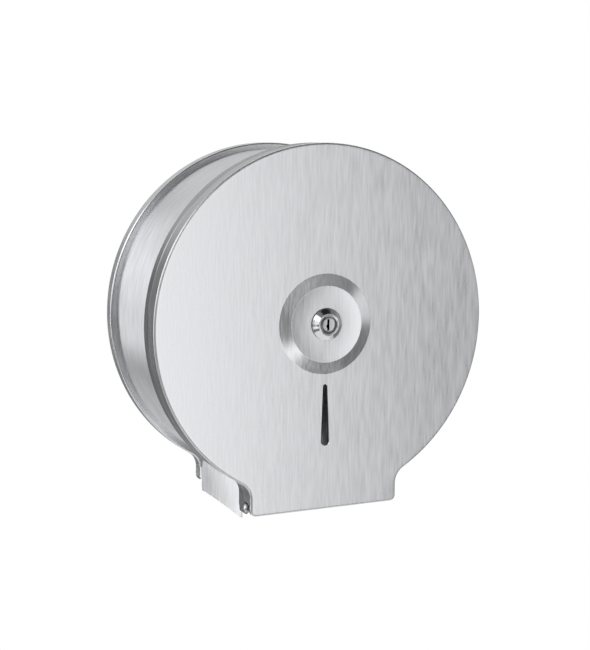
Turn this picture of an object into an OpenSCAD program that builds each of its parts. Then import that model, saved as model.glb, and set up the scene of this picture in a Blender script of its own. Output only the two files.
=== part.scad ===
// Jumbo toilet roll dispenser in brushed stainless sheet: a round drum on a wall pan, closed by a
// flat front cover that is hinged at its foot and locked to the end of the roll spindle.
// Every sheet is drawn facing up: x to the right, y up the wall and z out from the wall. The if
// lines at the end stand the whole up, so that the wall is the plane y = 0 and the front faces -y.

/* [Cover] */
// Diameter of the round cover
cover_d = 270; // [256:1:300]
// Wall to the flat face of the cover
body_depth = 118; // [110:1:128]
// Thickness of the steel sheet
sheet_t = 1; // [0.8:0.1:1.2]
// Width of the cover's turned-back edge
cover_edge_w = 13.7; // [12.8:0.1:15]
// Outer radius of the sheet bends
bend_r = 1.6; // [1.4:0.1:2.4]
// Width of the foot at the bottom
foot_w = 122; // [110:1:130]
// How far the foot reaches below the round part
foot_drop = 7.5; // [6:0.5:12]
// Hollow radius where the round part meets the foot
foot_fillet_r = 14; // [9:0.5:18]
// Radius of the foot's two lower corners
foot_corner_r = 4.5; // [4:0.1:6]

/* [Boss and level slot] */
// Diameter of the raised boss at its base
boss_d = 76; // [70:1:84]
// Diameter of the boss's flat top
boss_top_d = 58; // [50:1:64]
// Height of the boss
boss_h = 2.5; // [2:0.1:3.5]
// Cover centre to the top of the level slot
slot_start = 46; // [44:1:55]
// Length of the level slot
slot_len = 47; // [38:1:52]
// Width of the level slot at its top end
slot_top_w = 3.4; // [2:0.1:5]
// Width of the level slot at its lower end
slot_low_w = 6.8; // [5.2:0.1:9]

/* [Drum and rims] */
// How far the drum wall lies inside the edge of the cover
rim_step = 5.4; // [4:0.1:7]
// Height of the back pan's rim
pan_rim_h = 11.5; // [9:0.5:14]
// How much wider than the cover's foot the pan's foot is, on each side
pan_foot_out = 1; // [0.5:0.1:2]
// How far the pan's foot stops above the cover's foot
pan_foot_up = 2.5; // [1:0.5:4]
// Height of the low rim beside the pan's foot
pan_foot_rim_h = 8; // [6:0.5:9]
// Width of the front rim, which the cover closes on
front_rim_w = 10; // [8:0.5:11]
// Width of the welding flange that turns in behind the drum wall
weld_flange_w = 9; // [6:0.5:12]

/* [Throat] */
// Reach of the tear edge below the cover's foot, at the wall end
tear_rear = 4.8; // [2:0.1:6]
// Reach of the tear edge below the cover's foot, half way out
tear_mid = 3.3; // [1:0.1:5]
// Reach of the tear edge below the cover's foot, at the front tip
tear_front = 6.3; // [4:0.1:7]
// Spacing of the fine teeth
tooth_pitch = 1.5; // [1.2:0.1:3]
// Height of the fine teeth
tooth_h = 0.7; // [0.4:0.1:1]
// Wall to the rear edge of the tear plates
tear_start = 9.5; // [9:0.5:12]
// How far the tear plates run on inside the front rim
tear_into_rim = 2; // [2:0.5:5]

/* [Cover hinge] */
// Hinge axis behind the face of the cover
pivot_back = 11; // [10.5:0.1:12]
// Hinge axis above the lower edge of the cover
pivot_up = 4.5; // [4.2:0.1:5]
// Radius of the hinge lug's round end
lug_r = 4.4; // [4:0.1:4.6]
// Diameter of the hinge rivets
hinge_rivet_d = 4; // [3:0.1:4.4]
// Diameter of the hinge rivets' heads
hinge_head_d = 6.4; // [5.6:0.1:7.4]
// Thickness of the hinge brackets
bracket_t = 1.2; // [1:0.1:1.6]
// Height of the hinge brackets
bracket_h = 24; // [18:1:30]
// Width of the bracket's foot, welded to the cover
bracket_foot_w = 12; // [10:1:16]
// Thickness of the hinge washers
hinge_washer_t = 0.6; // [0.4:0.1:0.8]

/* [Spindle] */
// Outer diameter of the spindle tube
tube_d = 45; // [44:0.5:47]
// Wall of the spindle tube
tube_t = 1.2; // [1:0.1:1.5]
// Wall of the turning core sleeve
sleeve_wall = 3.4; // [2.5:0.1:6]
// Diameter of the collar at the wall end of the sleeve
collar_d = 68; // [62:1:76]
// Thickness of that collar
collar_t = 2; // [1.5:0.1:4]
// Diameter of the spindle's base flange
base_d = 76; // [72:1:84]
// Thickness of the base flange
base_t = 1.5; // [1.2:0.1:2]
// Diameter of the circle of base rivets
base_rivet_circle = 62; // [60:1:66]
// Diameter of the base rivets' shanks
base_rivet_d = 4; // [3:0.1:5]
// Thickness of the slotted end plate
end_plate_t = 1.2; // [1:0.1:1.6]
// How far the end plate stands out over the tube
end_plate_over = 1.8; // [1.2:0.1:2.2]

/* [Lock] */
// Diameter of the lock's bezel
bezel_d = 24.5; // [23:0.5:27]
// Height of the bezel
bezel_h = 4; // [3.4:0.1:5]
// Diameter of the lock's barrel
barrel_d = 19; // [18.6:0.1:20]
// Distance across the barrel's two flats
barrel_flats = 16.6; // [16.4:0.1:17.5]
// Diameter of the plug's face
plug_face_d = 14.8; // [14:0.1:15]
// Diameter of the plug inside the barrel
plug_d = 12.6; // [11.6:0.1:12.8]
// Size of the square that drives the cam
drive_w = 7; // [6:0.1:8]
// Length of the cam from the lock's axis
cam_len = 18.5; // [16:0.1:18.7]
// Width of the cam
cam_w = 12; // [11:0.1:13]
// Thickness of the cam
cam_t = 2; // [1.5:0.1:2.4]
// Distance across the flats of the lock nut
nut_flats = 24; // [22.5:0.5:27]
// Thickness of the lock nut
nut_t = 3.5; // [2.5:0.1:4.5]
// Thickness of the lock's washer
lock_washer_t = 0.8; // [0.5:0.1:1.2]

/* [Wall fixing] */
// Distance between the wall screws across the pan
screw_span_x = 120; // [100:1:130]
// Distance between the wall screws up the pan
screw_span_up = 120; // [100:1:130]
// Diameter of the wall screw holes
screw_hole_d = 6; // [4.5:0.5:7]
// Diameter of the raised pad that carries the spindle
pad_d = 104; // [96:1:120]
// Height of the raised pad
pad_rise = 2.6; // [2.4:0.1:4]

/* [Hidden] */
$fn = 128;

fillet_bite = 0.06; // overlap at the ends of a hollow corner
touch = 0.3;        // gap between pieces that close on each other
run = 0.06;         // radial gap of a running fit
side_play = 0.1;    // play along a hinge rivet

cover_r = cover_d / 2;
foot_hw = foot_w / 2;
foot_low = cover_r + foot_drop;
lap_w = bend_r + 1.4;                       // width of the face that is swept with the edge
plate_in = lap_w - 0.5;                     // the flat plate starts here and overlaps it
cover_edge_z = body_depth - cover_edge_w;
front_rim_z1 = cover_edge_z - touch;
front_rim_z0 = front_rim_z1 - front_rim_w;
wall_r = cover_r - rim_step;
throat_hw = foot_hw - sheet_t;              // outer face of the tear plates
throat_fillet_r = foot_fillet_r + sheet_t;

pivot_z = body_depth - pivot_back;
pivot_y = pivot_up - foot_low;
lug_clear = 0.5;                            // cover's cut-out above the lug
notch_top = pivot_y + lug_r + lug_clear;
notch_z = body_depth - 4;                   // a narrow edge stays in front of the cut-out
notch_r = 3.4;
bracket_x1 = throat_hw - side_play - hinge_washer_t;
bracket_x0 = bracket_x1 - bracket_t;
bracket_low = bend_r + 0.1 - foot_low;      // clears the bend of the cover's lower edge
bracket_back_r = 6.2;                       // reach of the bracket behind the hinge axis
hinge_rivet_r = hinge_rivet_d / 2;
hinge_head_r = hinge_head_d / 2;
hinge_head_t = 1.3;
hinge_tail_t = 1;

pad_r = pad_d / 2;
pad_z = pad_rise + sheet_t;
base_z1 = pad_z + base_t;
base_rivet_r = base_rivet_d / 2;
base_head_r = base_rivet_r + 1.9;
base_head_t = 1.5;
base_tail_t = 1.2;
tube_r = tube_d / 2;
end_plate_z0 = pivot_z - 3;
end_plate_z1 = end_plate_z0 + end_plate_t;
end_plate_r = tube_r + end_plate_over;
sleeve_z0 = base_z1 + base_head_t + 1.2;
sleeve_z1 = end_plate_z0 - 0.8;
sleeve_bore_r = tube_r + run;
sleeve_r = sleeve_bore_r + sleeve_wall;
sleeve_lead = 1.2;                          // bevel that the roll's core slides on over

boss_z = body_depth + boss_h;
bezel_z1 = boss_z + bezel_h;
barrel_r = barrel_d / 2;
barrel_z0 = end_plate_z1 + 1.2;
barrel_fit = 0.1;                           // gap round the barrel in its hole, washer and nut
plug_r = plug_d / 2;
plug_face_r = plug_face_d / 2;
plug_face_t = 2.6;
plug_face_z = bezel_z1 - 0.5;               // the plug's face lies a little inside the bezel
bezel_lip_w = 0.9;
shoulder_z = end_plate_z0 - 0.5;            // the cam seats here, just behind the end plate
cam_z0 = shoulder_z - cam_t;
cam_reach = cam_len - cam_w / 2;
cam_gap = 1.1;                              // room round the cam in the end plate's slot
drive_play = 0.05;
drive_short = 0.1;                          // lets the screw clamp the cam
keyhole_h = 8.6;
keyhole_w = 1.8;
keyhole_depth = 9;
cam_washer_t = 0.8;
cam_washer_r = 4.9;
cam_screw_r = 2;
cam_screw_len = 7;
cam_screw_head_r = 3.5;
cam_screw_head_t = 2.2;

tear_end = front_rim_z0 + tear_into_rim;
tooth_n = floor((tear_end - tear_start) / tooth_pitch);
weld_lap = 24;                              // tear plate's reach up along the drum wall

// Centre of the hollow corner between a round part and its foot
function fillet_x(hw, rf) = hw + rf;
function fillet_y(r, hw, rf) = -sqrt(pow(r + rf, 2) - pow(hw + rf, 2));

// Half the angle that the foot and its hollow corners take out of the round part
function foot_angle(r, hw, rf) = atan2(fillet_x(hw, rf), -fillet_y(r, hw, rf)) + 0.5;

// A plate of height h: a round part with a foot, drawn in by inset all round
module footed_plate(h, r, hw, rf, low, rc, inset) {
    cx = fillet_x(hw, rf);
    cy = fillet_y(r, hw, rf);
    cylinder(h = h, r = r - inset);
    translate([inset - hw, rc - low, 0]) cube([2 * (hw - inset), low - rc, h]);
    translate([rc - hw, inset - low, 0]) cube([2 * (hw - rc), low / 2, h]);
    for (side = [-1, 1]) {
        translate([side * (hw - rc), rc - low, 0]) cylinder(h = h, r = rc - inset);
        difference() {
            linear_extrude(h) polygon([[0, 0], [side * cx, cy], [0, cy]]);
            translate([side * cx, cy, -1]) cylinder(h = h + 2, r = rf + inset + fillet_bite);
        }
    }
}

module cover_plate(h, inset = 0) {
    footed_plate(h, cover_r, foot_hw, foot_fillet_r, foot_low, foot_corner_r, inset);
}

module throat_plate(h, r, inset = 0) {
    footed_plate(h, r, throat_hw, throat_fillet_r, 2 * foot_low, foot_corner_r, inset);
}

// The same round part with a foot as a flat outline
module outline(r, hw, rf, low, rc, inset) {
    cx = fillet_x(hw, rf);
    cy = fillet_y(r, hw, rf);
    circle(r - inset);
    translate([inset - hw, rc - low]) square([2 * (hw - inset), low - rc]);
    translate([rc - hw, inset - low]) square([2 * (hw - rc), low / 2]);
    for (side = [-1, 1]) {
        translate([side * (hw - rc), rc - low]) circle(rc - inset);
        difference() {
            polygon([[0, 0], [side * cx, cy], [0, cy]]);
            translate([side * cx, cy]) circle(rf + inset + fillet_bite);
        }
    }
}

module cover_outline(inset = 0) {
    outline(cover_r, foot_hw, foot_fillet_r, foot_low, foot_corner_r, inset);
}

module pan_outline(inset = 0) {
    outline(cover_r, foot_hw + pan_foot_out, foot_fillet_r, foot_low - pan_foot_up,
        foot_corner_r, inset);
}

// Section of a sheet turned through a right angle: the edge from z0 to z1, then in by w at z1
module edge_section(z0, z1, w) {
    difference() {
        union() {
            translate([0, z0]) square([sheet_t, z1 - bend_r - z0]);
            translate([bend_r, z1 - sheet_t]) square([w - bend_r, sheet_t]);
            translate([bend_r, z1 - bend_r]) circle(bend_r);
        }
        translate([bend_r, z1 - bend_r]) circle(bend_r - sheet_t);
        translate([sheet_t, z0]) square([w, z1 - bend_r - z0]);
        translate([bend_r, z0]) square([w, z1 - sheet_t - z0]);
    }
}

// Wedge from the centre down over the foot, with half angle a
module foot_wedge(a) {
    reach = 2 * foot_low;
    polygon([[0, 0], [-reach * sin(a), -reach * cos(a)], [reach * sin(a), -reach * cos(a)]]);
}

// Round part of a rim: carries a section round the drum's axis and leaves out the foot. The
// section's x is the distance in from the edge and its y is the height
module round_rim(r, a) {
    rotate_extrude(angle = 360 - 2 * a, start = a - 90) translate([r, 0]) mirror([1, 0]) children();
}

// Keeps a shape drawn in the plane of z and y, as a slab from x1 - t to x1
module side_slab(x1, t) {
    translate([x1, 0, 0]) rotate([0, -90, 0]) linear_extrude(t) children();
}

module on_left() {
    mirror([1, 0, 0]) children();
}

// A round-ended slot that widens downwards, from y = 0 to y = -len
module taper_slot(len, top_w, low_w) {
    r1 = top_w / 2;
    r2 = low_w / 2;
    gap = len - r1 - r2;
    lean = asin((r2 - r1) / gap);
    translate([0, -r1]) circle(r1);
    translate([0, r2 - len]) circle(r2);
    polygon([for (side = [-1, 1], end = [0, 1])
        let (e = side > 0 ? end : 1 - end, r = e == 0 ? r1 : r2, y = e == 0 ? -r1 : r2 - len)
        [side * r * cos(lean), y + r * sin(lean)]]);
}

// ---- wall pan, drum and rims ----

module screw_places() {
    for (x = [-1, 1], y = [-1, 1])
        translate([x * screw_span_x / 2, y * screw_span_up / 2, 0]) children();
}

module base_rivet_places() {
    for (a = [45 : 90 : 315]) rotate(a) translate([base_rivet_circle / 2, 0, 0]) children();
}

// Pressed-out round pad, as a sheet whose flank slopes at 45 degrees
module pad_sheet() {
    top_r = pad_r - pad_rise;
    rotate_extrude() polygon([[0, pad_rise], [top_r - sheet_t / 2, pad_rise],
        [pad_r - sheet_t / 2, 0], [pad_r + 2, 0], [pad_r + 2, sheet_t], [pad_r, sheet_t],
        [top_r, pad_z], [0, pad_z]]);
}

// Low rim beside the pan's foot, with a round corner at its end and open below
module pan_foot_rim(a) {
    end_y = pan_foot_up + foot_corner_r - foot_low;
    end_r = 4;
    intersection() {
        linear_extrude(pan_rim_h) difference() {
            intersection() {
                pan_outline();
                foot_wedge(a + 1);
                translate([-cover_r, end_y]) square([cover_d, cover_r]);
            }
            pan_outline(sheet_t);
        }
        side_slab(cover_r, cover_d) {
            translate([0, end_y + end_r]) square([pan_foot_rim_h, cover_r]);
            translate([0, end_y]) square([pan_foot_rim_h - end_r, cover_r]);
            translate([pan_foot_rim_h - end_r, end_y + end_r]) circle(end_r);
        }
    }
}

module back_pan() color("silver") {
    a = foot_angle(cover_r, foot_hw + pan_foot_out, foot_fillet_r);
    difference() {
        union() {
            linear_extrude(sheet_t) difference() {
                union() {
                    pan_outline(plate_in);
                    intersection() {
                        pan_outline();
                        foot_wedge(a + 1);
                    }
                }
                circle(pad_r + 1);
            }
            pad_sheet();
            round_rim(cover_r, a) {
                mirror([0, 1]) edge_section(-pan_rim_h / 2, 0, lap_w);
                edge_section(pan_rim_h / 2, pan_rim_h, rim_step);
            }
            pan_foot_rim(a);
        }
        screw_places() translate([0, 0, -1]) cylinder(h = sheet_t + 2, r = screw_hole_d / 2);
        base_rivet_places() cylinder(h = pad_z + 1, r = base_rivet_r);
    }
}

module drum_wall() color("gainsboro") {
    bend_x = fillet_x(throat_hw, throat_fillet_r) * wall_r / (wall_r + throat_fillet_r);
    end_x = bend_x + 1;
    translate([0, 0, sheet_t]) difference() {
        union() {
            linear_extrude(front_rim_z0) difference() {
                circle(wall_r);
                circle(wall_r - sheet_t);
            }
            linear_extrude(sheet_t) difference() {
                circle(wall_r - sheet_t / 2);
                circle(wall_r - weld_flange_w);
            }
        }
        translate([-end_x, -cover_r, -1]) cube([2 * end_x, cover_r, body_depth]);
    }
}

// Lug at each side of the foot, which the hinge rivet turns in
module lug() {
    side_slab(foot_hw, sheet_t) difference() {
        union() {
            translate([front_rim_z0 + sheet_t, pivot_y - lug_r])
                square([pivot_z - front_rim_z0 - sheet_t, 2 * lug_r]);
            translate([pivot_z, pivot_y]) circle(lug_r);
        }
        translate([pivot_z, pivot_y]) circle(hinge_rivet_r + run);
    }
}

module front_rim() color("lightgray") {
    a = foot_angle(cover_r, foot_hw, foot_fillet_r);
    web_low = fillet_y(cover_r, foot_hw, foot_fillet_r) + foot_fillet_r / 2;
    round_rim(cover_r, a) mirror([0, 1]) edge_section(-front_rim_z1, -front_rim_z0, lap_w);
    translate([0, 0, front_rim_z0]) {
        difference() {
            union() {
                cover_plate(sheet_t, plate_in);
                intersection() {
                    cover_plate(sheet_t);
                    linear_extrude(sheet_t) foot_wedge(a + 1);
                }
            }
            translate([0, 0, -1]) throat_plate(sheet_t + 2, wall_r);
            translate([-cover_r, web_low - 2 * cover_r, -1])
                cube([cover_d, 2 * cover_r, sheet_t + 2]);
        }
        intersection() {
            difference() {
                cover_plate(front_rim_w);
                translate([0, 0, -1]) cover_plate(front_rim_w + 2, sheet_t);
            }
            linear_extrude(front_rim_w) foot_wedge(a + 1);
            translate([-cover_r, foot_corner_r - foot_low, -1])
                cube([cover_d, cover_r, front_rim_w + 2]);
        }
    }
    lug();
    on_left() lug();
}

// Lower edge of a tear plate, a shallow arch through its three reaches
function tear_edge(s) = -foot_low - tear_rear * (1 - s) * (1 - 2 * s)
    - tear_mid * 4 * s * (1 - s) - tear_front * s * (2 * s - 1);

module tear_plate() {
    top = fillet_y(wall_r - sheet_t, throat_hw, throat_fillet_r) + weld_lap;
    intersection() {
        translate([0, 0, tear_start]) difference() {
            throat_plate(tear_end - tear_start, wall_r - sheet_t);
            translate([0, 0, -1]) throat_plate(body_depth, wall_r - sheet_t, sheet_t);
        }
        side_slab(cover_r, cover_r - foot_hw / 2) polygon(concat(
            [[tear_end, top], [tear_start, top]],
            [for (i = [0 : 2 * tooth_n]) let (s = i / (2 * tooth_n))
                [tear_start + s * (tear_end - tear_start),
                    tear_edge(s) + (i % 2 == 0 ? tooth_h : 0)]]));
    }
}

module left_tear_plate() color("whitesmoke") on_left() tear_plate();

module right_tear_plate() color("whitesmoke") tear_plate();

// ---- spindle ----

module spindle_base() color("darkgray") difference() {
    translate([0, 0, pad_z]) cylinder(h = base_t, r = base_d / 2);
    translate([0, 0, pad_z - 1]) cylinder(h = base_t + 2, r = tube_r - tube_t);
    base_rivet_places() cylinder(h = base_z1 + 1, r = base_rivet_r);
}

module spindle_tube() color("silver") translate([0, 0, base_z1]) difference() {
    cylinder(h = end_plate_z0 - base_z1, r = tube_r);
    translate([0, 0, -1]) cylinder(h = body_depth, r = tube_r - tube_t);
}

// The outline of the cam as it points up, grown by gap
module cam_outline(gap = 0) {
    r = cam_w / 2 + gap;
    circle(r);
    translate([0, cam_reach]) circle(r);
    translate([-r, 0]) square([2 * r, cam_reach]);
}

module spindle_end_plate() color("darkgray") translate([0, 0, end_plate_z0])
    linear_extrude(end_plate_t) difference() {
        circle(end_plate_r);
        cam_outline(cam_gap);
    }

// Low dome of radius r and height h, on the plane z = 0
module dome(r, h) {
    ball_r = (r * r + h * h) / (2 * h);
    rotate_extrude() intersection() {
        translate([0, h - ball_r]) circle(ball_r);
        square([r, h]);
    }
}

module base_rivets() color("gray") base_rivet_places() {
    translate([0, 0, base_z1]) dome(base_head_r, base_head_t);
    translate([0, 0, pad_rise]) cylinder(h = base_z1 - pad_rise, r = base_rivet_r);
    translate([0, 0, pad_rise - base_tail_t]) cylinder(h = base_tail_t, r = base_head_r - 0.4);
}

module core_sleeve() color("dimgray") rotate_extrude() polygon([
    [sleeve_bore_r, sleeve_z0], [collar_d / 2, sleeve_z0], [collar_d / 2, sleeve_z0 + collar_t],
    [sleeve_r, sleeve_z0 + collar_t], [sleeve_r, sleeve_z1 - sleeve_lead],
    [sleeve_r - sleeve_lead, sleeve_z1], [sleeve_bore_r, sleeve_z1]]);

// ---- cover and its hinge ----

// The lock's barrel has two flats, so that it can't turn in its hole
module barrel_section(gap = 0) {
    intersection() {
        circle(barrel_r + gap);
        square([barrel_flats + 2 * gap, barrel_d + 1], center = true);
    }
}

module boss_sheet() {
    base_r = boss_d / 2;
    top_r = boss_top_d / 2;
    slope = sheet_t * tan(atan2(boss_h, base_r - top_r) / 2);
    rotate_extrude() polygon([[0, boss_z - sheet_t], [top_r - slope, boss_z - sheet_t],
        [base_r - slope, body_depth - sheet_t], [base_r + 2, body_depth - sheet_t],
        [base_r + 2, body_depth], [base_r, body_depth], [top_r, boss_z], [0, boss_z]]);
}

// Cut-out that clears the hinge lugs while the cover swings, as a slab right through the foot
module hinge_notch() {
    side_slab(cover_r, cover_d) {
        translate([0, -2 * cover_r]) square([notch_z - notch_r, 2 * cover_r + notch_top]);
        translate([0, -2 * cover_r]) square([notch_z, 2 * cover_r + notch_top - notch_r]);
        translate([notch_z - notch_r, notch_top - notch_r]) circle(notch_r);
    }
}

module front_cover() color("gainsboro") {
    a = foot_angle(cover_r, foot_hw, foot_fillet_r);
    difference() {
        union() {
            translate([0, 0, body_depth - sheet_t]) linear_extrude(sheet_t) difference() {
                union() {
                    cover_outline(plate_in);
                    intersection() {
                        cover_outline();
                        foot_wedge(a + 1);
                    }
                }
                circle(boss_d / 2 + 1);
                translate([0, -slot_start]) taper_slot(slot_len, slot_top_w, slot_low_w);
            }
            round_rim(cover_r, a) edge_section(cover_edge_z, body_depth, lap_w);
            difference() {
                translate([0, 0, cover_edge_z]) linear_extrude(cover_edge_w) difference() {
                    intersection() {
                        cover_outline();
                        foot_wedge(a + 1);
                    }
                    cover_outline(sheet_t);
                }
                hinge_notch();
            }
            boss_sheet();
        }
        translate([0, 0, body_depth]) linear_extrude(boss_h + 1) barrel_section(barrel_fit);
    }
}

// Angle bracket inside the cover: one leg on the hinge rivet, one welded to the face
module hinge_bracket() {
    inner_z = body_depth - sheet_t;
    top = bracket_low + bracket_h;
    difference() {
        union() {
            side_slab(bracket_x1, bracket_t) intersection() {
                union() {
                    translate([pivot_z, pivot_y]) circle(bracket_back_r);
                    polygon([[inner_z, pivot_y - bracket_back_r], [inner_z, top],
                        [pivot_z, top], [pivot_z - bracket_back_r, pivot_y],
                        [pivot_z, pivot_y - bracket_back_r]]);
                }
                translate([0, bracket_low]) square([body_depth, bracket_h]);
            }
            translate([bracket_x1 - bracket_foot_w, bracket_low, inner_z - bracket_t])
                cube([bracket_foot_w, bracket_h, bracket_t]);
        }
        translate([bracket_x0 - 1, pivot_y, pivot_z]) rotate([0, 90, 0])
            cylinder(h = bracket_t + 2, r = hinge_rivet_r);
    }
}

module left_hinge_bracket() color("darkgray") on_left() hinge_bracket();

module right_hinge_bracket() color("darkgray") hinge_bracket();

module hinge_rivet() {
    head_x = foot_hw + side_play;
    translate([0, pivot_y, pivot_z]) rotate([0, 90, 0]) {
        translate([0, 0, head_x]) dome(hinge_head_r, hinge_head_t);
        translate([0, 0, bracket_x0]) cylinder(h = head_x - bracket_x0, r = hinge_rivet_r);
        translate([0, 0, bracket_x0 - hinge_tail_t]) cylinder(h = hinge_tail_t, r = hinge_head_r);
    }
}

module left_hinge_rivet() color("lightgray") on_left() hinge_rivet();

module right_hinge_rivet() color("lightgray") hinge_rivet();

module hinge_washer() {
    translate([bracket_x1, pivot_y, pivot_z]) rotate([0, 90, 0]) difference() {
        cylinder(h = hinge_washer_t, r = hinge_head_r);
        translate([0, 0, -1]) cylinder(h = hinge_washer_t + 2, r = hinge_rivet_r + run / 2);
    }
}

module left_hinge_washer() color("white") on_left() hinge_washer();

module right_hinge_washer() color("white") hinge_washer();

// ---- lock ----

module lock_barrel() color("silver") difference() {
    union() {
        translate([0, 0, barrel_z0]) linear_extrude(boss_z - barrel_z0) barrel_section();
        rotate_extrude() polygon([[0, boss_z], [bezel_d / 2, boss_z], [bezel_d / 2, boss_z + 0.5],
            [bezel_d / 2 - 0.6, boss_z + 0.9], [plug_face_r + bezel_lip_w + 0.4, bezel_z1 - 0.3],
            [plug_face_r + bezel_lip_w, bezel_z1], [0, bezel_z1]]);
    }
    translate([0, 0, barrel_z0 - 1]) cylinder(h = body_depth, r = plug_r + run);
    translate([0, 0, plug_face_z - plug_face_t - run]) cylinder(h = body_depth, r = plug_face_r + run);
}

module lock_washer() color("gray") translate([0, 0, boss_z - sheet_t - lock_washer_t]) difference() {
    cylinder(h = lock_washer_t, r = nut_flats / 2);
    translate([0, 0, -1]) cylinder(h = lock_washer_t + 2, r = barrel_r + barrel_fit);
}

module lock_nut() color("gray")
    translate([0, 0, boss_z - sheet_t - lock_washer_t - nut_t]) difference() {
        cylinder(h = nut_t, r = nut_flats / 2 / cos(30), $fn = 6);
        translate([0, 0, -1]) cylinder(h = nut_t + 2, r = barrel_r + barrel_fit / 2);
    }

module lock_plug() color("lightgray") difference() {
    union() {
        translate([0, 0, plug_face_z - plug_face_t]) cylinder(h = plug_face_t, r = plug_face_r);
        translate([0, 0, shoulder_z]) cylinder(h = plug_face_z - plug_face_t - shoulder_z, r = plug_r);
        translate([-drive_w / 2, -drive_w / 2, cam_z0 + drive_short])
            cube([drive_w, drive_w, cam_t]);
    }
    // a stepped keyway, open to the front
    translate([0, 0, plug_face_z - keyhole_depth]) linear_extrude(keyhole_depth + 1) {
        translate([-keyhole_w / 2, -keyhole_h / 2]) square([keyhole_w, keyhole_h]);
        translate([-keyhole_w / 2 - 0.7, -keyhole_h / 4]) square([keyhole_w, keyhole_h / 4]);
    }
    translate([0, 0, cam_z0]) cylinder(h = cam_screw_len, r = cam_screw_r);
}

module lock_cam() color("darkgray") translate([0, 0, cam_z0]) linear_extrude(cam_t) difference() {
    cam_outline();
    square(drive_w + 2 * drive_play, center = true);
}

module cam_washer() color("gray") translate([0, 0, cam_z0 - cam_washer_t]) difference() {
    cylinder(h = cam_washer_t, r = cam_washer_r);
    translate([0, 0, -1]) cylinder(h = cam_washer_t + 2, r = cam_screw_r + run);
}

module cam_screw() color("dimgray") difference() {
    head_z = cam_z0 - cam_washer_t - cam_screw_head_t;
    union() {
        translate([0, 0, head_z]) cylinder(h = cam_screw_head_t, r = cam_screw_head_r);
        translate([0, 0, head_z]) cylinder(h = cam_screw_len + cam_z0 - head_z, r = cam_screw_r);
    }
    for (a = [0, 90]) rotate(a) translate([-2.2, -0.4, head_z - 1]) cube([4.4, 0.8, 2.2]);
}

// Stands what is drawn facing up on its foot, so that it hangs on the wall plane y = 0
module hung() {
    rotate([90, 0, 0]) children();
}

hung() back_pan();
hung() drum_wall();
hung() front_rim();
hung() left_tear_plate();
hung() right_tear_plate();
hung() spindle_base();
hung() spindle_tube();
hung() spindle_end_plate();
hung() base_rivets();
hung() core_sleeve();
hung() front_cover();
hung() left_hinge_bracket();
hung() right_hinge_bracket();
hung() left_hinge_rivet();
hung() right_hinge_rivet();
hung() left_hinge_washer();
hung() right_hinge_washer();
hung() lock_barrel();
hung() lock_washer();
hung() lock_nut();
hung() lock_plug();
hung() lock_cam();
hung() cam_washer();
hung() cam_screw();
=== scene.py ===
# Jumbo toilet roll dispenser: brushed steel sheets, a chrome cam lock and the spindle inside.
# Pieces are worked out in millimetres as seen from the front: x to the right, z up the wall and
# depth out from the wall. toWorld puts them into the frame, where the front faces -y.
import math

import bmesh
import bpy
import numpy as np
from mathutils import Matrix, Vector


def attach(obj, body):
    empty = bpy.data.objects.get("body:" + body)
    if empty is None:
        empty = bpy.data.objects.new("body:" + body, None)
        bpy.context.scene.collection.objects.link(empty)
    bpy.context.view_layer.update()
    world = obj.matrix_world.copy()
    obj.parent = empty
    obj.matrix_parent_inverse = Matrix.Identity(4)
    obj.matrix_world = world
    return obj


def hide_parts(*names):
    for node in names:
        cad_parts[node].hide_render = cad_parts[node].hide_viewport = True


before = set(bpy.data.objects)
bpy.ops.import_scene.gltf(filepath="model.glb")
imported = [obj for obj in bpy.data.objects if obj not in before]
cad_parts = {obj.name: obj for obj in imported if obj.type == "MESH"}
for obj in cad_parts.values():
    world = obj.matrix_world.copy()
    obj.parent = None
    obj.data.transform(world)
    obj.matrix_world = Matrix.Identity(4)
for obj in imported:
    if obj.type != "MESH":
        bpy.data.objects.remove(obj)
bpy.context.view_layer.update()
print("frame loaded:", len(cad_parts), "nodes")


# Mesh helpers

def toWorld(x, z, depth):
    # stacks three arrays of one shape into points of the frame, in metres
    x, z, depth = np.broadcast_arrays(x, z, depth)
    return np.stack([x, -depth, z], axis=-1).reshape(-1, 3) * 0.001


def gridQuads(rows, columns, first=0, closedRows=False, closedColumns=False):
    # quads between neighbours of a grid whose point (i, j) has the number first + i * columns + j
    i = np.arange(rows if closedRows else rows - 1)[:, None]
    j = np.arange(columns if closedColumns else columns - 1)[None, :]
    nextI, nextJ = (i + 1) % rows, (j + 1) % columns
    corners = [i * columns + j, i * columns + nextJ, nextI * columns + nextJ, nextI * columns + j]
    return np.stack([c + first for c in np.broadcast_arrays(*corners)], axis=-1).reshape(-1, 4)


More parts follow.
